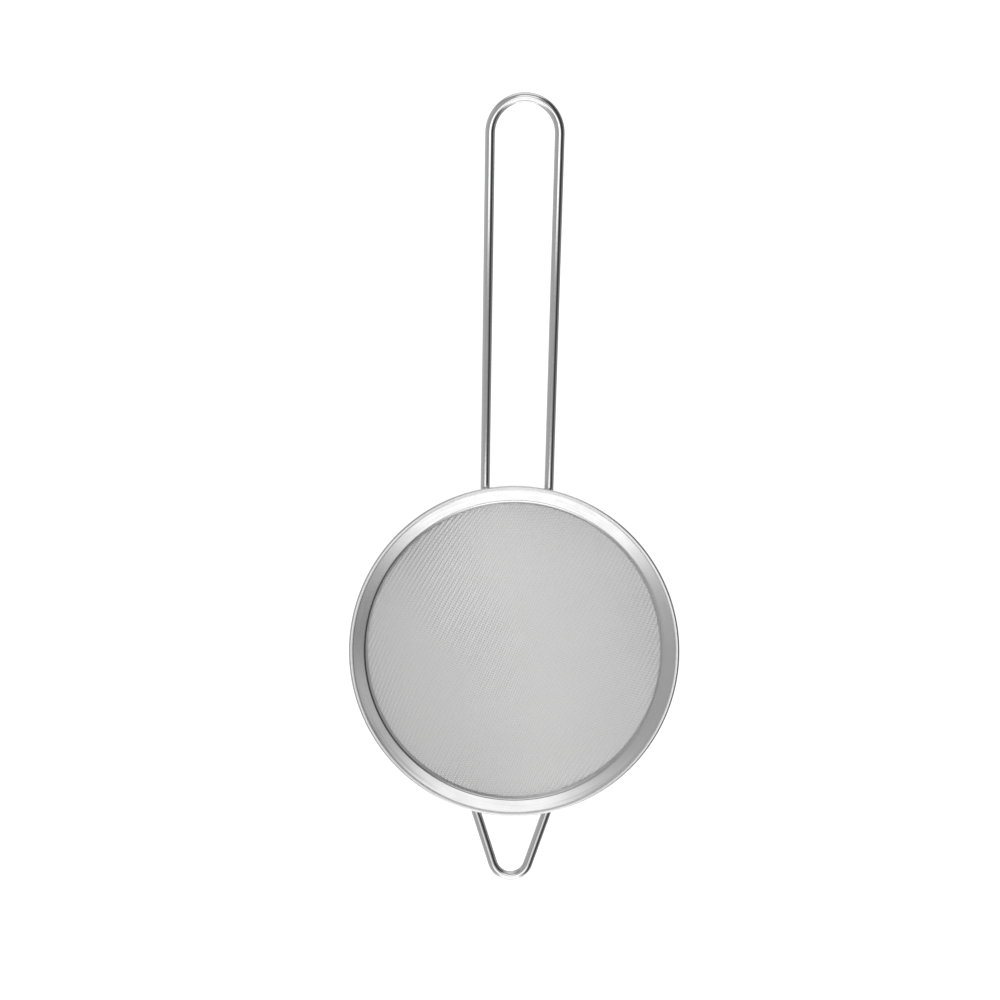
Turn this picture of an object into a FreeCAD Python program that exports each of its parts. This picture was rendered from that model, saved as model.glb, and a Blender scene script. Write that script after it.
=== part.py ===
import FreeCAD, Part
import math
import os

# Tea strainer: a shallow bowl of woven wire cloth, clamped between two pressed rings, with a
# long wire handle on one side and a short wire hook on the other, both welded under the rim.
# Millimetres. The origin is the centre of the rim, level with the underside of its outer edge,
# where it sits on a cup. +Z points up out of the bowl, +Y along the handle, -Y to the hook.

# The rim. Three layers lie on each other: the collar on top, the cloth, and the band below.
RIM_RADIUS = 40.0
COLLAR_SHEET = 0.2
CLOTH_THICKNESS = 0.36
BAND_SHEET = 0.2
LIP_WIDTH = 1.0  # how far the band's edge is folded back over the collar
FLANGE_SLOPE = 15.0  # degrees from level, falling towards the bowl
WALL_SLOPE = 85.0  # degrees from level
FLANGE_INNER_RADIUS = 35.87  # where the collar's flange would meet its wall, were it not rounded
CORNER_RADIUS = 0.85  # on the collar's visible side
COLLAR_FOOT_HEIGHT = -2.4
BAND_FOOT_HEIGHT = -3.8

# The bowl of wire cloth, a spherical cap below the collar.
CLOTH_KINK_RADIUS = 0.3
CLOTH_EDGE_SLOPE = 51.0  # degrees from level, where the cap starts

# The handle: one wire, bent into a long loop that rises away from the rim.
WIRE_DIAMETER = 2.2
WIRE_SINK = 0.05  # how deep a welded wire is let into the band
HANDLE_LEG_SPACING = 15.5
HANDLE_RISE = 21.0  # degrees
HANDLE_ARCH_DISTANCE = 118.1  # from the bowl's axis to the centre of the end arch
HANDLE_ROOT_HEIGHT = -1.35  # of the wire's centre line where it passes under the rim's edge
ROOT_BEND_RADIUS = 1.4
WIRE_FOOT_HEIGHT = -3.6

# The rest hook: one wire, bent into a level V with a round end.
HOOK_HEIGHT = -1.95
HOOK_HALF_ANGLE = 18.9  # degrees between a leg and the centre line
HOOK_BEND_RADIUS = 4.5
HOOK_LENGTH = 55.0  # from the bowl's axis to the wire's centre line at the hook's end

# The welds, each a bead round the foot of a wire.
WELD_LENGTH = 1.8
WELD_WIDTH = 3.6
WELD_HEIGHT = 0.75

WIRE_RADIUS = WIRE_DIAMETER / 2
STACK = COLLAR_SHEET + CLOTH_THICKNESS + BAND_SHEET
CLOTH_TOP = COLLAR_SHEET
BAND_TOP = COLLAR_SHEET + CLOTH_THICKNESS
UP = FreeCAD.Vector(0, 0, 1)
ORIGIN = FreeCAD.Vector(0, 0, 0)


def polar(degrees, length=1.0):
    """A vector in the XZ plane, where X is the distance from the bowl's axis."""
    angle = math.radians(degrees)
    return FreeCAD.Vector(length * math.cos(angle), 0, length * math.sin(angle))


def outward(slope):
    """The normal that points down and out of a face that rises outwards at this slope."""
    return polar(slope - 90)


def line(start, end):
    return Part.makeLine(start, end)


def arc(start, middle, end):
    return Part.Arc(start, middle, end).toShape()


def revolved(edges):
    """The solid of revolution of a closed outline in the XZ plane."""
    outline = Part.Wire(Part.__sortEdges__(edges))
    return Part.Face(outline).revolve(ORIGIN, UP, 360)


# The fold of the band round the rim's edge is half a circle about this point.
FOLD_RADIUS = (STACK + BAND_SHEET) / 2
FOLD_CENTRE = FreeCAD.Vector(
    RIM_RADIUS - FOLD_RADIUS, 0, FOLD_RADIUS * math.cos(math.radians(FLANGE_SLOPE))
)
FOLD_DEPTH = STACK - FOLD_RADIUS  # of the fold's centre below the collar's visible side


def on_flange(depth, distance=0.0):
    """A point of the flange, this far in from the fold's centre and this deep in the layers."""
    across = FOLD_CENTRE + outward(FLANGE_SLOPE) * (depth - FOLD_DEPTH)
    return across - polar(FLANGE_SLOPE) * distance


def corner_centre():
    """The centre of the round corner between flange and wall, one for all the layers."""
    flange = on_flange(0)
    inwards = (flange.x - FLANGE_INNER_RADIUS) / math.cos(math.radians(FLANGE_SLOPE))
    corner = on_flange(0, inwards)
    both = outward(FLANGE_SLOPE) + outward(WALL_SLOPE)
    return corner + both * (CORNER_RADIUS / (1 + outward(FLANGE_SLOPE).dot(outward(WALL_SLOPE))))


CORNER_CENTRE = corner_centre()


def corner_points(depth):
    """Start, middle and end of the round corner, this deep in the layers."""
    radius = CORNER_RADIUS - depth
    slopes = (FLANGE_SLOPE, (FLANGE_SLOPE + WALL_SLOPE) / 2, WALL_SLOPE)
    return [CORNER_CENTRE - outward(slope) * radius for slope in slopes]


def on_wall(depth, height):
    """A point of the wall at this height, this deep in the layers."""
    end = corner_points(depth)[2]
    return end - polar(WALL_SLOPE) * ((end.z - height) / math.sin(math.radians(WALL_SLOPE)))


def layer_side(depth, flange_end, height):
    """The edges of one side of a layer, from its flange round the corner and down its wall."""
    start, middle, end = corner_points(depth)
    return [line(flange_end, start), arc(start, middle, end), line(end, on_wall(depth, height))]


def make_collar():
    """The pressed inner ring: a narrow flange, a round corner and a short wall."""
    top, under = on_flange(0), on_flange(COLLAR_SHEET)
    edges = layer_side(0, top, COLLAR_FOOT_HEIGHT)
    edges += layer_side(COLLAR_SHEET, under, COLLAR_FOOT_HEIGHT)
    edges.append(line(top, under))
    edges.append(line(on_wall(0, COLLAR_FOOT_HEIGHT), on_wall(COLLAR_SHEET, COLLAR_FOOT_HEIGHT)))
    return revolved(edges)


def make_band():
    """The outer ring, which follows the collar from below and folds back over its edge."""
    leg = LIP_WIDTH - FOLD_RADIUS
    side = polar(FLANGE_SLOPE)
    inner_fold = FOLD_RADIUS - BAND_SHEET
    under = on_flange(STACK)
    lip_outer, lip_inner = on_flange(-BAND_SHEET), on_flange(0)
    lip_end_outer, lip_end_inner = on_flange(-BAND_SHEET, leg), on_flange(0, leg)
    top = on_flange(BAND_TOP)
    edges = layer_side(BAND_TOP, top, BAND_FOOT_HEIGHT)
    edges += layer_side(STACK, under, BAND_FOOT_HEIGHT)
    edges.append(line(on_wall(BAND_TOP, BAND_FOOT_HEIGHT), on_wall(STACK, BAND_FOOT_HEIGHT)))
    edges.append(arc(under, FOLD_CENTRE + side * FOLD_RADIUS, lip_outer))
    edges.append(line(lip_outer, lip_end_outer))
    edges.append(line(lip_end_outer, lip_end_inner))
    edges.append(line(lip_end_inner, lip_inner))
    edges.append(arc(lip_inner, FOLD_CENTRE + side * inner_fold, top))
    return revolved(edges)


def make_mesh_bowl():
    """The wire cloth as a plain shell: flat between the rings, then a spherical cap."""
    top, under = on_flange(CLOTH_TOP), on_flange(BAND_TOP)
    foot_inner = on_wall(CLOTH_TOP, COLLAR_FOOT_HEIGHT)
    kink_centre = foot_inner - outward(WALL_SLOPE) * CLOTH_KINK_RADIUS
    foot_outer = kink_centre + outward(WALL_SLOPE) * (CLOTH_KINK_RADIUS + CLOTH_THICKNESS)
    middle_slope = (WALL_SLOPE + CLOTH_EDGE_SLOPE) / 2
    edges = [line(top, under)]
    bottoms = []
    for depth, flange_end, foot in ((CLOTH_TOP, top, foot_inner), (BAND_TOP, under, foot_outer)):
        radius = CLOTH_KINK_RADIUS + depth - CLOTH_TOP
        cap_start = kink_centre + outward(CLOTH_EDGE_SLOPE) * radius
        cap_radius = cap_start.x / math.sin(math.radians(CLOTH_EDGE_SLOPE))
        cap_centre = cap_start - outward(CLOTH_EDGE_SLOPE) * cap_radius
        cap_middle = cap_centre + outward(CLOTH_EDGE_SLOPE / 2) * cap_radius
        bottoms.append(cap_centre + outward(0) * cap_radius)
        edges += layer_side(depth, flange_end, foot.z)
        edges.append(arc(foot, kink_centre + outward(middle_slope) * radius, cap_start))
        edges.append(arc(cap_start, cap_middle, bottoms[-1]))
    edges.append(line(*bottoms))
    return revolved(edges)


def inside_of_band():
    """Everything that the band's outer side encloses, which no weld may enter."""
    under, foot = on_flange(STACK), on_wall(STACK, WIRE_FOOT_HEIGHT - WELD_LENGTH)
    high = FreeCAD.Vector(under.x, 0, RIM_RADIUS)
    edges = layer_side(STACK, under, foot.z)
    edges.append(line(under, high))
    edges.append(line(high, FreeCAD.Vector(0, 0, high.z)))
    edges.append(line(FreeCAD.Vector(0, 0, high.z), FreeCAD.Vector(0, 0, foot.z)))
    edges.append(line(FreeCAD.Vector(0, 0, foot.z), foot))
    return revolved(edges)


def mirrored(point):
    return FreeCAD.Vector(-point.x, point.y, point.z)


def turned(point, x):
    """A point of the XZ section, turned about the axis to this x on the handle's side."""
    return FreeCAD.Vector(x, math.sqrt(point.x**2 - x**2), point.z)


def wire_line(height):
    """The point at this height on the line that a wire's centre follows down the wall."""
    return on_wall(STACK + WIRE_RADIUS - WIRE_SINK, height)


def wire_through(foot, corner, loop_start, loop_middle):
    """A round wire up from one foot, bent out at the corner, round the loop's end and back."""
    down, away = (foot - corner).normalize(), (loop_start - corner).normalize()
    half = down.getAngle(away) / 2
    bisector = (down + away).normalize()
    centre = corner + bisector * (ROOT_BEND_RADIUS / math.sin(half))
    bend_start = corner + down * (ROOT_BEND_RADIUS / math.tan(half))
    bend_end = corner + away * (ROOT_BEND_RADIUS / math.tan(half))
    bend_middle = centre - bisector * ROOT_BEND_RADIUS
    path = [
        line(foot, bend_start),
        arc(bend_start, bend_middle, bend_end),
        line(bend_end, loop_start),
        arc(loop_start, loop_middle, mirrored(loop_start)),
        line(mirrored(loop_start), mirrored(bend_end)),
        arc(mirrored(bend_end), mirrored(bend_middle), mirrored(bend_start)),
        line(mirrored(bend_start), mirrored(foot)),
    ]
    section = Part.Wire(Part.makeCircle(WIRE_RADIUS, foot, foot - bend_start))
    return Part.Wire(path).makePipeShell([section], True, False)


def make_handle():
    """The handle's wire, with two parallel legs and a half-round end."""
    half = HANDLE_LEG_SPACING / 2
    rise = math.tan(math.radians(HANDLE_RISE))
    low, high = wire_line(WIRE_FOOT_HEIGHT), wire_line(HANDLE_ROOT_HEIGHT)
    # The wall's line and the handle's line meet at the corner of the wire's path.
    lean = (high.x - low.x) / (high.z - low.z)
    start = HANDLE_ROOT_HEIGHT - rise * (FOLD_CENTRE.x - high.x)
    corner_height = (start - rise * lean * high.z) / (1 - rise * lean)
    corner = turned(wire_line(corner_height), half)
    arch_height = corner.z + (HANDLE_ARCH_DISTANCE - corner.y) * rise
    arch_centre = FreeCAD.Vector(0, HANDLE_ARCH_DISTANCE, arch_height)
    along = FreeCAD.Vector(0, 1, rise).normalize()
    foot = turned(low, half * low.x / wire_line(corner_height).x)
    loop_start = arch_centre + FreeCAD.Vector(half, 0, 0)
    return wire_through(foot, corner, loop_start, arch_centre + along * half), foot


def make_hook():
    """The hook's wire, a level V whose legs run straight into a round end."""
    angle = math.radians(HOOK_HALF_ANGLE)
    bend_centre = HOOK_LENGTH - HOOK_BEND_RADIUS
    apex = bend_centre + HOOK_BEND_RADIUS / math.sin(angle)
    root = wire_line(HOOK_HEIGHT)
    # Where a leg, from the V's apex, reaches the radius at which the wire turns down.
    reach = apex * math.cos(angle) - math.sqrt(root.x**2 - (apex * math.sin(angle)) ** 2)
    x = reach * math.sin(angle)
    corner = turned(root, x)
    low = wire_line(WIRE_FOOT_HEIGHT)
    foot = turned(low, x * low.x / root.x)
    across = FreeCAD.Vector(math.cos(angle), math.sin(angle), 0)
    loop_start = FreeCAD.Vector(0, bend_centre, HOOK_HEIGHT) + across * HOOK_BEND_RADIUS
    loop_middle = FreeCAD.Vector(0, HOOK_LENGTH, HOOK_HEIGHT)
    wire = wire_through(foot, corner, loop_start, loop_middle)
    return to_hook_side(wire), foot


def to_hook_side(shape):
    return shape.mirror(ORIGIN, FreeCAD.Vector(0, 1, 0))


def make_weld(foot, wire, keep_out):
    """A bead round a wire's foot, flat against the band and hollowed by the wire."""
    bead = Part.makeSphere(1.0)
    stretch = FreeCAD.Matrix()
    stretch.scale(WELD_HEIGHT, WELD_WIDTH / 2, WELD_LENGTH / 2)
    bead = bead.transformGeometry(stretch)
    bead.rotate(ORIGIN, FreeCAD.Vector(0, 1, 0), 90 - WALL_SLOPE)
    bead.translate(on_wall(STACK, foot.z))
    bead.rotate(ORIGIN, UP, math.degrees(math.atan2(foot.y, foot.x)))
    return bead.cut(keep_out).cut(wire)


def export(shape, name):
    solid = shape.Solids[0] if len(shape.Solids) == 1 else shape
    solid.exportStep(f"parts/{name}.step")
    box = shape.BoundBox
    print(
        f"{name}: {len(shape.Solids)} solid, valid {shape.isValid()}, {shape.Volume:.1f} mm3,"
        f" x {box.XMin:.2f} {box.XMax:.2f}, y {box.YMin:.2f} {box.YMax:.2f},"
        f" z {box.ZMin:.2f} {box.ZMax:.2f}"
    )


def main():
    os.makedirs("parts", exist_ok=True)
    band = make_band()
    keep_out = inside_of_band()
    handle, handle_foot = make_handle()
    hook, hook_foot = make_hook()
    handle = handle.cut(band)
    hook = hook.cut(band)
    export(make_collar(), "rim_collar")
    export(band, "rim_band")
    export(make_mesh_bowl(), "mesh_bowl")
    export(handle, "handle_wire")
    export(hook, "rest_hook")
    for side, foot in (("right", handle_foot), ("left", mirrored(handle_foot))):
        export(make_weld(foot, handle, keep_out), f"handle_weld_{side}")
    for side, foot in (("right", hook_foot), ("left", mirrored(hook_foot))):
        foot = FreeCAD.Vector(foot.x, -foot.y, foot.z)
        export(make_weld(foot, hook, keep_out), f"hook_weld_{side}")


main()
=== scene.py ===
import math

import bpy
import numpy as np
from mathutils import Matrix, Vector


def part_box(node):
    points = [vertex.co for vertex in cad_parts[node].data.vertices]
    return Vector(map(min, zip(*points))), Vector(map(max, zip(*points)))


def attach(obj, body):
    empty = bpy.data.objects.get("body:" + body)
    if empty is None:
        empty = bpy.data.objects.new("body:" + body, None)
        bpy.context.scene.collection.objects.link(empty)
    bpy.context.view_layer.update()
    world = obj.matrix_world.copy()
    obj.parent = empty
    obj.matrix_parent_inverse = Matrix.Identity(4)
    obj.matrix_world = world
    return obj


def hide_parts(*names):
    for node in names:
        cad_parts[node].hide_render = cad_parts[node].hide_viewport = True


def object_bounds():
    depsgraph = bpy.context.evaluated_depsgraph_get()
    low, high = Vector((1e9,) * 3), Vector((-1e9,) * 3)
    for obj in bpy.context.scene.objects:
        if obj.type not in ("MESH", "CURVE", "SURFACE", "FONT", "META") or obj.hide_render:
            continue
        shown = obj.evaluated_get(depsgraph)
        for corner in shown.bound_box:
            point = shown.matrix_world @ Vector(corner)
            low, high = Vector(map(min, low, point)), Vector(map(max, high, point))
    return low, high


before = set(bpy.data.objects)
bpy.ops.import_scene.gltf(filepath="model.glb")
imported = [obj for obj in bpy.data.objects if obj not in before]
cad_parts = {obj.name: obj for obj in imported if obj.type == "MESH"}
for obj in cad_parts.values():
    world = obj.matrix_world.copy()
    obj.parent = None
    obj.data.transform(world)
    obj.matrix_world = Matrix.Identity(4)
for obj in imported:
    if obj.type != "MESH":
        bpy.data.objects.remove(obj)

# Tea strainer. The CAD wires and welds get their finishes, the two rings of the rim are drawn
# again, finer, and the plain shell of the bowl gives way to real woven wire.
# Metres; +Z up out of the bowl, +Y along the handle.

CAD_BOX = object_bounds()
MM = 0.001

# The cloth: a twill of fine wire, each wire over two and under two.
CLOTH_PITCH = 0.41 * MM
CLOTH_WIRE_RADIUS = 0.09 * MM
CLOTH_THICKNESS = 4 * CLOTH_WIRE_RADIUS
CLOTH_TURN = math.radians(15.8)  # of its wires from the handle's direction
CLOTH_EDGE_SLOPE = math.radians(51)  # of the bowl where it meets the rim, from level
CLOTH_EDGE_DROP = 0.276 * MM  # of the bowl's edge below the collar's foot
CLOTH_HIDDEN = 1.6 * MM  # how far the woven wires run up between the two rings
CLOTH_WIRE_SIDES = 6
CLOTH_WIRE_STRAY = 0.003 * MM  # of a wire from its even place
CLOTH_SEED = 11
TWILL_REPEAT = 4
CLOTH_GROUPS = 3  # pieces for the wires of each direction

# The rim's section.
RIM_RADIUS = 40 * MM
SHEET = 0.2 * MM
WALL_SLOPE = math.radians(85)
FLANGE_SLOPE = math.radians(15)
FLANGE_INNER_RADIUS = 35.87 * MM  # where the flange would meet the wall, were it not rounded
CORNER_RADIUS = 0.85 * MM
FOOT_FILLET = 0.05 * MM
COLLAR_EDGE_FILLET = 0.04 * MM
LIP_LEG = 0.52 * MM  # of the band's edge, folded back over the collar
LIP_RISE = 1.2 * SHEET  # of the lip's top above the flange, at its free edge
LIP_EDGE_FILLET = 0.03 * MM
LIP_TOP_FILLET = 0.18 * MM
FOLD_RISE = 0.5 * SHEET  # of the fold's top above the flange
FOLD_TOP_FILLET = 0.4 * MM
FOLD_SIDE_FILLET = 0.38 * MM
FOLD_INNER_FILLET = 0.22 * MM

# How finely the rings are drawn, and how uneven they are.
RING_STEPS = 540
RING_SIDE = 0.2 * MM  # the longest side of their section
FILLET_STEPS = 8
RING_TILT = math.radians(0.35)  # how far the flange's slope wanders round the rim
RING_WAVES = range(2, 12)  # the numbers of waves round the rim that it wanders in
WAVE_PHASES = 6.28  # a wave starts anywhere in this turn, in radians
RING_SEED = 5
CREASE_RADIUS = 38.45 * MM
CREASE_DEPTH = 0.03 * MM
CREASE_WIDTH = 0.35 * MM
CREASES = (math.radians(217), math.radians(301))  # where the crease is deepest, from +X
CREASE_REACH = math.radians(20)

# The steel's grain and cloudiness.
GRAIN_DETAIL = 3.0
GRAIN_ROUGHNESS = 0.65
RING_GRAIN_REACH = 1.6 * MM  # how far its pattern moves on in each radian round the rim
CLOUD_SCALE = 90.0
CLOUD_DETAIL = 4.0
CLOUD_ROUGHNESS = 0.6
POLISH_SPAN = (0.7, 1.3)  # of grain and clouds together, from the best polish to the worst
TINT_SPAN = (0.3, 0.8)  # of the same, from the darker tint to the full one
DARKER = 0.93

# The camera looks straight down on the strainer.
CAMERA_ROLL = math.radians(1.03)
CAMERA_PLACE = (-4.08 * MM, 36.48 * MM, 351 * MM)
CAMERA_CLIP = 10 * MM
SENSOR_WIDTH = 36.0
VIEW_WIDTH = 242.4 * MM  # what the camera sees across, level with the rim

# The floor, and the softbox above it that only lights what isn't metal.
FLOOR_RADIUS = 0.9
FLOOR_CORNERS = 96
FLOOR_GAP = 0.05 * MM
FLOOR_SHADE = 0.5
FLOOR_GLOW = 0.75
FILL_HEIGHT = 1.5
FILL_SIZE = 1.5
FILL_RADIANCE = 1.6

# The studio that the metal mirrors, as radiance by direction. A direction is a point of the unit
# sphere. North is +Y, towards the handle's end. A fade says where a light is out and where full.
SKY_SHADES = ((-1.0, 0.43), (0.0, 0.38), (0.4, 0.32), (0.54, 0.12), (0.72, 0.05))  # x, radiance
NORTH_SKY_FADE = (0.5, 0.7)
NORTH_SKY_LOSS = 0.3
GROUND_FADE = (0.0, 0.1)  # from the ground up to the open sky
GROUND_SHARE = 0.75  # of the sky's radiance
GROUND_LIGHT = 0.2
HORIZON_LIGHT = 0.85
HORIZON_FADE = (0.75, 0.93)
SIDE_LIGHT = 0.7
SIDE_LIGHT_PLACE = (0.39, 0.03, 0.92)
SIDE_LIGHT_FADE = (0.11, 0.04)
NORTH_LIGHT = 1.3
NORTH_LIGHT_MIDDLE = 0.07
NORTH_LIGHT_SIDES = (0.3, 0.19)
NORTH_LIGHT_STRIP = ((0.17, 0.25), (0.58, 0.46))
SOUTH_LIGHT = 1.55
SOUTH_LIGHT_SIDES = (0.38, 0.24)
SOUTH_LIGHT_STRIPS = (((0.26, 0.37), (0.545, 0.5)), ((0.635, 0.66), (0.98, 0.9)))
TOP_LIGHT = 1.2
TOP_LIGHT_PLACE = (0.0, -0.12, 0.993)
TOP_LIGHT_FADE = (0.19, 0.13)


def node_maker(tree):
    """A function that adds a node to this tree and fills or links its inputs."""
    def add(kind, inputs=(), **settings):
        node = tree.nodes.new(kind)
        for setting, value in settings.items():
            setattr(node, setting, value)
        for socket, value in dict(inputs).items():
            if isinstance(value, bpy.types.NodeSocket):
                tree.links.new(value, node.inputs[socket])
            else:
                node.inputs[socket].default_value = value
        return node

    return add


def new_piece(name, vertices, faces, material):
    """A smooth mesh object."""
    mesh = bpy.data.meshes.new(name)
    mesh.from_pydata(vertices, [], faces)
    mesh.shade_smooth()
    mesh.materials.append(material)
    piece = bpy.data.objects.new(name, mesh)
    bpy.context.scene.collection.objects.link(piece)
    return piece


# ---------------------------------------------------------------- materials

def new_material(name):
    """A material's Principled shader, and the functions that add nodes and link them to it."""
    material = bpy.data.materials.new(name)
    material.use_nodes = True
    tree = material.node_tree
    shader = tree.nodes["Principled BSDF"]

    def link(output, socket):
        tree.links.new(output, shader.inputs[socket])

    return material, shader, node_maker(tree), link


def round_grain(add, place):
    """Where to look the grain up so that it runs round the Z axis."""
    parts = add("ShaderNodeSeparateXYZ", {0: place})
    squares = [
        add("ShaderNodeMath", {0: parts.outputs[axis], 1: 2.0}, operation="POWER").outputs[0]
        for axis in (0, 1)
    ]
    both = add("ShaderNodeMath", dict(enumerate(squares)), operation="ADD")
    radius = add("ShaderNodeMath", {0: both.outputs[0]}, operation="SQRT")
    across = add("ShaderNodeMath", {0: radius.outputs[0], 1: parts.outputs[2]}, operation="ADD")
    turn = add("ShaderNodeVectorMath", {0: place}, operation="NORMALIZE").outputs[0]
    reach = {0: turn, "Scale": RING_GRAIN_REACH}
    around = add("ShaderNodeVectorMath", reach, operation="SCALE").outputs[0]
    sides = add("ShaderNodeSeparateXYZ", {0: around}).outputs
    where = {0: across.outputs[0], 1: sides[0], 2: sides[1]}
    return add("ShaderNodeCombineXYZ", where).outputs[0]


def steel(name, tint, roughness, roughness_spread, grain, bump, ring_anisotropy=None):
    """Bare steel: slightly uneven in colour and polish, with a fine grain in the surface.

    With an anisotropy, the grain runs round the Z axis, as a turned or spun part's does.
    """
    material, shader, add, link = new_material(name)
    shader.inputs["Metallic"].default_value = 1.0
    place = grain_place = add("ShaderNodeTexCoord").outputs["Object"]
    if ring_anisotropy:
        grain_place = round_grain(add, place)
        shader.inputs["Anisotropic"].default_value = ring_anisotropy
        link(add("ShaderNodeTangent", direction_type="RADIAL", axis="Z").outputs[0], "Tangent")
    fine = {"Scale": grain, "Detail": GRAIN_DETAIL, "Roughness": GRAIN_ROUGHNESS}
    lines = add("ShaderNodeTexNoise", {"Vector": grain_place, **fine}).outputs["Fac"]
    coarse = {"Scale": CLOUD_SCALE, "Detail": CLOUD_DETAIL, "Roughness": CLOUD_ROUGHNESS}
    clouds = add("ShaderNodeTexNoise", {"Vector": place, **coarse}).outputs["Fac"]
    mixed = add("ShaderNodeMath", {0: lines, 1: clouds}, operation="ADD").outputs[0]
    polish = {
        "Value": mixed,
        "From Min": POLISH_SPAN[0],
        "From Max": POLISH_SPAN[1],
        "To Min": roughness - roughness_spread,
        "To Max": roughness + roughness_spread,
    }
    link(add("ShaderNodeMapRange", polish).outputs[0], "Roughness")
    ramp = add("ShaderNodeValToRGB", {"Fac": mixed})
    shades = ([DARKER * part for part in tint], tint)
    for element, position, shade in zip(ramp.color_ramp.elements, TINT_SPAN, shades):
        element.position = position
        element.color = (*shade, 1.0)
    link(ramp.outputs["Color"], "Base Color")
    height = add("ShaderNodeBump", {"Height": lines, "Strength": 1.0, "Distance": bump})
    link(height.outputs[0], "Normal")
    return material


def rim_steel():
    return steel(
        "rim_steel", (0.80, 0.80, 0.80), roughness=0.2, roughness_spread=0.05,
        grain=3500.0, bump=0.0015 * MM, ring_anisotropy=0.6,
    )


def cloth_steel():
    return steel(
        "cloth_steel", (0.87, 0.87, 0.87), roughness=0.33, roughness_spread=0.02,
        grain=2000.0, bump=0.0,
    )


def wire_steel():
    return steel(
        "wire_steel", (0.80, 0.80, 0.80), roughness=0.1, roughness_spread=0.03,
        grain=1500.0, bump=0.001 * MM,
    )


def weld_steel():
    return steel(
        "weld_steel", (0.50, 0.48, 0.45), roughness=0.42, roughness_spread=0.1,
        grain=1200.0, bump=0.04 * MM,
    )


# ---------------------------------------------------------------- the woven bowl

def quarter_net(step, count):
    """Crossing points of a quarter of a cloth that is pressed onto a unit sphere, from its
    lowest point outwards. The cloth's squares shear but their sides keep their length."""
    net = np.zeros((count, count, 3))
    turn = step * np.arange(count)
    net[:, 0] = np.stack([np.sin(turn), 0 * turn, -np.cos(turn)], axis=1)
    net[0, :] = np.stack([0 * turn, np.sin(turn), -np.cos(turn)], axis=1)
    for i in range(1, count):
        for j in range(1, count):
            mirror = np.cross(net[i, j - 1], net[i - 1, j])
            mirror /= np.linalg.norm(mirror)
            net[i, j] = net[i - 1, j - 1] - 2 * mirror.dot(net[i - 1, j - 1]) * mirror
    return net


def whole_net(step, count):
    """The quarter and its three mirror images, joined."""
    quarter = quarter_net(step, count)
    index = np.arange(1 - count, count)
    signs = np.sign(index)
    net = quarter[np.abs(index)][:, np.abs(index)].copy()
    net[..., 0] *= signs[:, None]
    net[..., 1] *= signs[None, :]
    return net


def cloth_points():
    """Each crossing's point on the cloth's middle surface, the normal there and if it is kept."""
    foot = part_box("rim_collar")[0].z
    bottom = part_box("mesh_bowl")[0].z + CLOTH_THICKNESS / 2
    edge_height = foot - CLOTH_EDGE_DROP
    radius = (edge_height - bottom) / (1 - math.cos(CLOTH_EDGE_SLOPE))
    reach = CLOTH_EDGE_SLOPE + CLOTH_HIDDEN / radius
    count = math.ceil(reach * radius / CLOTH_PITCH) + 2
    net = whole_net(CLOTH_PITCH / radius, count)
    slope = np.arccos(np.clip(-net[..., 2], -1, 1))
    heading = np.arctan2(net[..., 1], net[..., 0]) + CLOTH_TURN
    past = np.maximum(slope - CLOTH_EDGE_SLOPE, 0) * radius
    on_cap = np.minimum(slope, CLOTH_EDGE_SLOPE)
    out = radius * np.sin(on_cap) + past * math.cos(WALL_SLOPE)
    height = bottom + radius * (1 - np.cos(on_cap)) + past * math.sin(WALL_SLOPE)
    face = np.where(past > 0, WALL_SLOPE, slope)
    around = np.stack([np.cos(heading), np.sin(heading), 0 * heading], axis=-1)
    up = np.array([0, 0, 1.0])
    points = around * out[..., None] + up * height[..., None]
    normals = up * np.cos(face)[..., None] - around * np.sin(face)[..., None]
    return points, normals, slope <= reach


def tube(centres, normals, radius, sides):
    """Vertices and faces of a round wire through these centres, with flat ends."""
    along = np.gradient(centres, axis=0)
    along /= np.linalg.norm(along, axis=1)[:, None]
    side = np.cross(along, normals)
    side /= np.linalg.norm(side, axis=1)[:, None]
    upright = np.cross(side, along)
    turn = (2 * math.pi * (np.arange(sides) + 0.5) / sides)[None, :, None]
    ring = np.cos(turn) * upright[:, None] + np.sin(turn) * side[:, None]
    vertices = (centres[:, None] + radius * ring).reshape(-1, 3)
    start = np.arange(len(centres) - 1)[:, None] * sides
    here = np.arange(sides)[None, :]
    following = (here + 1) % sides
    quads = np.stack(
        [start + here, start + following, start + sides + following, start + sides + here],
        axis=-1,
    ).reshape(-1, 4)
    last = (len(centres) - 1) * sides
    ends = [list(range(sides))[::-1], list(range(last, last + sides))]
    return vertices, quads, ends


def woven_wires(points, normals, kept, over, random):
    """One tube for each wire along the first axis of these arrays."""
    wires = []
    for row in range(points.shape[1]):
        inside = np.flatnonzero(kept[:, row])
        if len(inside) < TWILL_REPEAT:
            continue
        run = slice(inside[0], inside[-1] + 1)
        lift = np.where(over[run, row], CLOTH_WIRE_RADIUS, -CLOTH_WIRE_RADIUS)
        centres = points[run, row] + lift[:, None] * normals[run, row]
        along = np.gradient(centres, axis=0)
        aside = np.cross(along, normals[run, row])
        aside /= np.linalg.norm(aside, axis=1)[:, None]
        centres = centres + random.normal(0, CLOTH_WIRE_STRAY) * aside
        wires.append(tube(centres, normals[run, row], CLOTH_WIRE_RADIUS, CLOTH_WIRE_SIDES))
    return wires


def joined(name, tubes, material):
    """One mesh object from several tubes."""
    vertices, faces, offset = [], [], 0
    for points, quads, ends in tubes:
        vertices.append(points)
        faces += (quads + offset).tolist()
        faces += [[corner + offset for corner in end] for end in ends]
        offset += len(points)
    return new_piece(name, np.concatenate(vertices).tolist(), faces, material)


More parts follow.
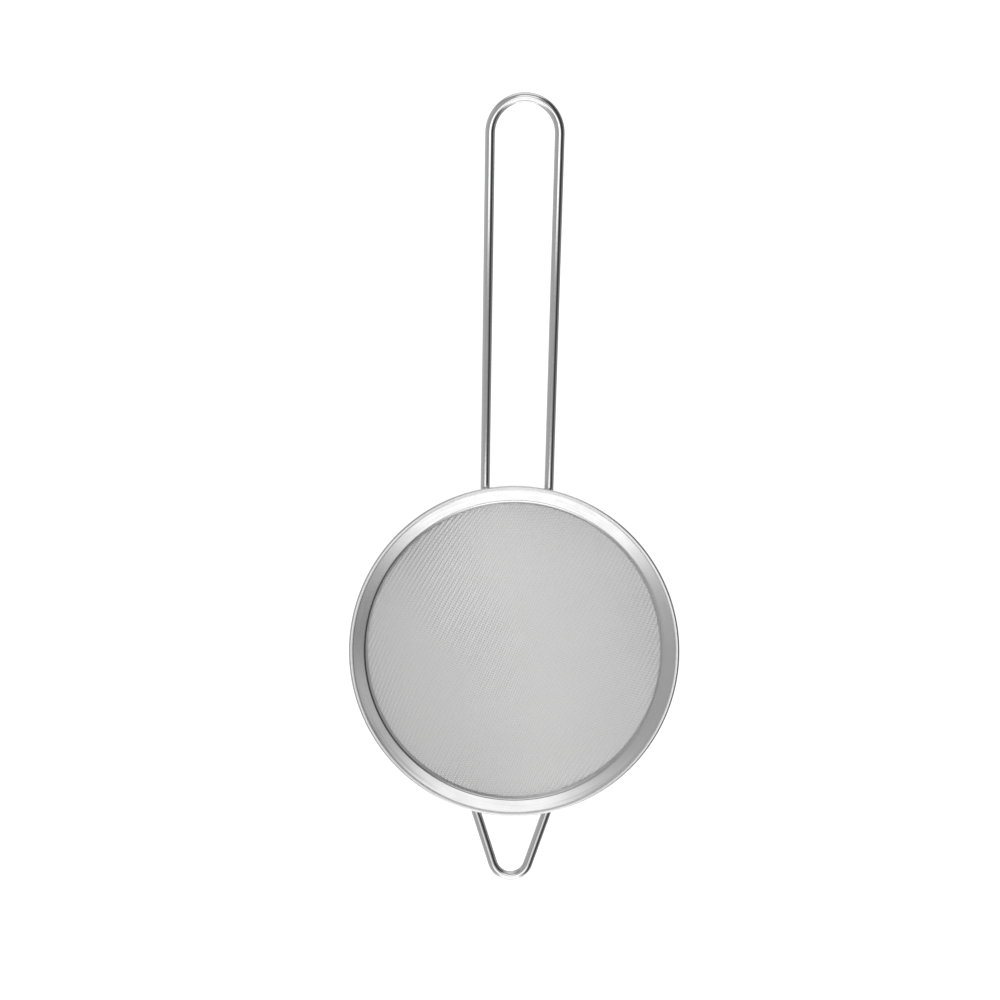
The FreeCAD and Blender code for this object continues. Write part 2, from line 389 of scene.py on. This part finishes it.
def make_cloth():
    points, normals, kept = cloth_points()
    number = np.arange(points.shape[0])
    over = (number[:, None] - number[None, :]) % TWILL_REPEAT < TWILL_REPEAT // 2
    random = np.random.default_rng(CLOTH_SEED)
    material = cloth_steel()
    turned = (1, 0, 2)
    directions = {
        "warp": woven_wires(points, normals, kept, over, random),
        "weft": woven_wires(
            points.transpose(turned), normals.transpose(turned), kept.T, ~over.T, random
        ),
    }
    for direction, wires in directions.items():
        for group in range(CLOTH_GROUPS):
            first = group * len(wires) // CLOTH_GROUPS
            end = (group + 1) * len(wires) // CLOTH_GROUPS
            piece = joined(f"cloth_{direction}_{group + 1}", wires[first:end], material)
            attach(piece, "root")
            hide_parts("mesh_bowl")


# ---------------------------------------------------------------- the rim

STACK = 2 * SHEET + CLOTH_THICKNESS
FOLD_RADIUS = (STACK + SHEET) / 2
LEVEL = np.array([math.cos(FLANGE_SLOPE), math.sin(FLANGE_SLOPE)])  # out along the flange
BELOW = np.array([math.sin(FLANGE_SLOPE), -math.cos(FLANGE_SLOPE)])  # down out of the flange
OUTSIDE = np.array([math.sin(WALL_SLOPE), -math.cos(WALL_SLOPE)])  # out of the wall


def on_flange(depth, distance):
    """A point (radius, height) this deep in the rim's layers and this far in from the fold."""
    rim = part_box("rim_band")[1].x
    centre = np.array([rim - FOLD_RADIUS, FOLD_RADIUS * math.cos(FLANGE_SLOPE)])
    return centre + BELOW * (depth - STACK + FOLD_RADIUS) - LEVEL * distance


def crossing(depth):
    """Where the flange and the wall of this layer would meet in a sharp corner."""
    flange = on_flange(0, 0)
    corner = flange - LEVEL * (flange[0] - FLANGE_INNER_RADIUS) / LEVEL[0]
    # Both sides of the corner move out by the depth.
    return corner + np.linalg.solve(np.array([BELOW, OUTSIDE]), np.array([depth, depth]))


def on_wall(depth, height):
    """A point on the wall this deep in the rim's layers and at this height."""
    corner = crossing(depth)
    drop = corner[1] - height
    return corner - np.array([drop / math.tan(WALL_SLOPE), drop])


def rounded(corners):
    """The points of a closed outline with each of its corners rounded to its own radius."""
    points = []
    for number, (corner, radius) in enumerate(corners):
        before = corners[number - 1][0] - corner
        after = corners[(number + 1) % len(corners)][0] - corner
        before = before / np.linalg.norm(before)
        after = after / np.linalg.norm(after)
        half = math.acos(max(-1.0, min(1.0, before.dot(after)))) / 2
        middle = before + after
        middle = middle / np.linalg.norm(middle)
        centre = corner + middle * radius / math.sin(half)
        start = corner + before * radius / math.tan(half) - centre
        end = corner + after * radius / math.tan(half) - centre
        sweep = math.pi - 2 * half
        for step in range(FILLET_STEPS + 1):
            share = step / FILLET_STEPS
            point = start * math.sin((1 - share) * sweep) + end * math.sin(share * sweep)
            points.append(centre + point / math.sin(sweep))
    return np.array(points)


def refined(outline, longest):
    """The same closed outline with its long sides cut into short ones."""
    points = []
    for number, start in enumerate(outline):
        side = outline[(number + 1) % len(outline)] - start
        parts = max(1, math.ceil(np.linalg.norm(side) / longest))
        points += [start + side * part / parts for part in range(parts)]
    return np.array(points)


def unevenness(radius, angle):
    """How far the flange lies above its true place, as pressed sheet does. It is the same for
    both rings, so that they stay face to face."""
    random = np.random.default_rng(RING_SEED)
    wander = 0
    for waves in RING_WAVES:
        size = random.normal()
        wander = wander + size * np.cos(waves * angle + random.uniform(0, WAVE_PHASES)) / waves**0.5
    width = RIM_RADIUS - FLANGE_INNER_RADIUS
    outwards = np.clip((radius - FLANGE_INNER_RADIUS) / width, 0, 1)
    tilt = RING_TILT * wander * outwards * width / 2
    share = sum(np.exp(-(((angle - middle) / CREASE_REACH) ** 2)) for middle in CREASES)
    crease = CREASE_DEPTH * share * np.exp(-(((radius - CREASE_RADIUS) / CREASE_WIDTH) ** 2))
    return tilt - crease


def lathed(name, corners, material):
    """A ring with this section, turned about the Z axis."""
    section = refined(rounded(corners), RING_SIDE)
    angle = 2 * math.pi * np.arange(RING_STEPS)[:, None] / RING_STEPS
    radius, height = section[None, :, 0] + 0 * angle, section[None, :, 1] + 0 * angle
    height = height + unevenness(radius, angle)
    vertices = np.stack([radius * np.cos(angle), radius * np.sin(angle), height], axis=-1)
    number = np.arange(RING_STEPS * len(section)).reshape(RING_STEPS, len(section))
    onward, along = np.roll(number, -1, axis=0), np.roll(number, -1, axis=1)
    both = np.roll(onward, -1, axis=1)
    faces = np.stack([number, along, both, onward], axis=-1).reshape(-1, 4)
    return new_piece(name, vertices.reshape(-1, 3).tolist(), faces.tolist(), material)


def make_collar(material):
    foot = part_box("rim_collar")[0].z
    corners = [
        (on_flange(0, 0), COLLAR_EDGE_FILLET),
        (crossing(0), CORNER_RADIUS),
        (on_wall(0, foot), FOOT_FILLET),
        (on_wall(SHEET, foot), FOOT_FILLET),
        (crossing(SHEET), CORNER_RADIUS - SHEET),
        (on_flange(SHEET, 0), COLLAR_EDGE_FILLET),
    ]
    piece = lathed("collar", corners, material)
    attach(piece, "root")
    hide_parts("rim_collar")


def make_band(material):
    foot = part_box("rim_band")[0].z
    inner = FOLD_RADIUS - SHEET
    under = SHEET + CLOTH_THICKNESS
    corners = [
        (on_flange(0, LIP_LEG), LIP_EDGE_FILLET),
        (on_flange(-LIP_RISE, LIP_LEG), LIP_TOP_FILLET),
        (on_flange(-FOLD_RISE, -FOLD_RADIUS), FOLD_TOP_FILLET),
        (on_flange(STACK, -FOLD_RADIUS), FOLD_SIDE_FILLET),
        (crossing(STACK), CORNER_RADIUS - STACK),
        (on_wall(STACK, foot), FOOT_FILLET),
        (on_wall(under, foot), FOOT_FILLET),
        (crossing(under), CORNER_RADIUS - under),
        (on_flange(under, -inner), FOLD_INNER_FILLET),
        (on_flange(0, -inner), FOLD_INNER_FILLET),
    ]
    piece = lathed("band", corners, material)
    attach(piece, "root")
    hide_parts("rim_band")


def make_rim():
    material = rim_steel()
    make_collar(material)
    make_band(material)


def finish_cad_nodes():
    finishes = {
        wire_steel(): ("handle_wire", "rest_hook"),
        weld_steel(): (
            "handle_weld_left", "handle_weld_right", "hook_weld_left", "hook_weld_right",
        ),
    }
    for material, nodes in finishes.items():
        for node in nodes:
            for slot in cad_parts[node].material_slots:
                slot.material = material


# ---------------------------------------------------------------- the studio

def floor_finish():
    material, shader, _, _ = new_material("floor")
    shader.inputs["Base Color"].default_value = (FLOOR_SHADE, FLOOR_SHADE, FLOOR_SHADE, 1.0)
    shader.inputs["Roughness"].default_value = 1.0
    shader.inputs["Specular IOR Level"].default_value = 0.0
    shader.inputs["Emission Color"].default_value = (1.0, 1.0, 1.0, 1.0)
    shader.inputs["Emission Strength"].default_value = FLOOR_GLOW
    return material


def make_floor():
    material = floor_finish()
    bpy.ops.mesh.primitive_circle_add(
        vertices=FLOOR_CORNERS, radius=FLOOR_RADIUS, fill_type="NGON"
    )
    floor = bpy.context.object
    floor.name = "floor"
    floor.location.z = CAD_BOX[0].z - FLOOR_GAP
    floor.data.materials.append(material)
    floor.visible_glossy = False


def make_fill_light():
    light = bpy.data.lights.new("fill", "AREA")
    light.shape = "RECTANGLE"
    light.size = light.size_y = FILL_SIZE
    light.energy = FILL_RADIANCE * math.pi * FILL_SIZE * FILL_SIZE
    lamp = bpy.data.objects.new("fill", light)
    lamp.location.z = FILL_HEIGHT
    lamp.visible_glossy = False
    bpy.context.scene.collection.objects.link(lamp)


def sky_sums(add):
    """The sums that the studio's radiance is worked out with, as nodes."""
    def maths(operation, *values):
        return add("ShaderNodeMath", dict(enumerate(values)), operation=operation).outputs[0]

    def step(value, fade):
        """0 at the fade's start, 1 at its end and smooth between them."""
        rising = {"Value": value, "From Min": fade[0], "From Max": fade[1]}
        return add("ShaderNodeMapRange", rising, interpolation_type="SMOOTHSTEP").outputs[0]

    def strip(value, fades):
        """1 between two fades and 0 outside them."""
        return maths("MULTIPLY", step(value, fades[0]), step(value, fades[1]))

    def lit(sky, share, radiance):
        """The sky with this share of it replaced by a lit surface."""
        unlit = maths("MULTIPLY", sky, maths("SUBTRACT", 1.0, share))
        return maths("ADD", unlit, maths("MULTIPLY", share, radiance))

    return maths, step, strip, lit


def open_sky(add, maths, step, x, y, z):
    """The studio's walls and ground: paler to the left, darker to the far right."""
    ramp = add("ShaderNodeValToRGB", {"Fac": maths("MULTIPLY_ADD", x, 0.5, 0.5)})
    while len(ramp.color_ramp.elements) < len(SKY_SHADES):
        ramp.color_ramp.elements.new(0.5)
    for element, (place, shade) in zip(ramp.color_ramp.elements, SKY_SHADES):
        element.position = (place + 1) / 2
        element.color = (shade, shade, shade, 1.0)
    north_loss = maths("MULTIPLY_ADD", step(y, NORTH_SKY_FADE), -NORTH_SKY_LOSS, 1.0)
    sky = maths("MULTIPLY", ramp.outputs["Color"], north_loss)
    ground = maths("MULTIPLY_ADD", sky, GROUND_SHARE, GROUND_LIGHT)
    levels = {"Factor": step(z, GROUND_FADE), "A": ground, "B": sky}
    return add("ShaderNodeMix", levels).outputs["Result"]


def studio_radiance(add):
    """The radiance of the whole studio: its sky, and the lit surfaces in it one after another."""
    maths, step, strip, lit = sky_sums(add)
    toward = add("ShaderNodeTexCoord").outputs["Generated"]
    x, y, z = add("ShaderNodeSeparateXYZ", {0: toward}).outputs

    def round_light(place, fade):
        off = add("ShaderNodeVectorMath", {0: toward, 1: place}, operation="DISTANCE")
        return step(off.outputs["Value"], fade)

    sky = open_sky(add, maths, step, x, y, z)
    sky = lit(sky, step(maths("ABSOLUTE", y), HORIZON_FADE), HORIZON_LIGHT)
    sky = lit(sky, round_light(SIDE_LIGHT_PLACE, SIDE_LIGHT_FADE), SIDE_LIGHT)
    off_middle = maths("ABSOLUTE", maths("SUBTRACT", x, NORTH_LIGHT_MIDDLE))
    north = maths("MULTIPLY", strip(y, NORTH_LIGHT_STRIP), step(off_middle, NORTH_LIGHT_SIDES))
    sky = lit(sky, north, NORTH_LIGHT)
    southward = maths("MULTIPLY", y, -1.0)
    strips = maths("ADD", *(strip(southward, fades) for fades in SOUTH_LIGHT_STRIPS))
    south = maths("MULTIPLY", strips, step(maths("ABSOLUTE", x), SOUTH_LIGHT_SIDES))
    sky = lit(sky, south, SOUTH_LIGHT)
    return lit(sky, round_light(TOP_LIGHT_PLACE, TOP_LIGHT_FADE), TOP_LIGHT)


def make_studio():
    """The world: plain white where it is seen, and the studio's lights where it is mirrored."""
    world = bpy.data.worlds.new("studio")
    bpy.context.scene.world = world
    world.use_nodes = True
    tree = world.node_tree
    add = node_maker(tree)
    seen = add("ShaderNodeLightPath").outputs["Is Camera Ray"]
    shown = add("ShaderNodeMix", {"Factor": seen, "A": studio_radiance(add), "B": 1.0})
    tree.links.new(shown.outputs["Result"], tree.nodes["Background"].inputs["Color"])


def make_camera():
    camera = bpy.data.cameras.new("camera")
    camera.sensor_width = SENSOR_WIDTH
    camera.lens = SENSOR_WIDTH * CAMERA_PLACE[2] / VIEW_WIDTH
    camera.clip_start = CAMERA_CLIP
    holder = bpy.data.objects.new("camera", camera)
    holder.location = CAMERA_PLACE
    holder.rotation_euler = (0, 0, CAMERA_ROLL)
    bpy.context.scene.collection.objects.link(holder)
    bpy.context.scene.camera = holder
    bpy.context.scene.view_settings.view_transform = "Standard"


make_cloth()
make_rim()
finish_cad_nodes()
make_floor()
make_fill_light()
make_studio()
make_camera()
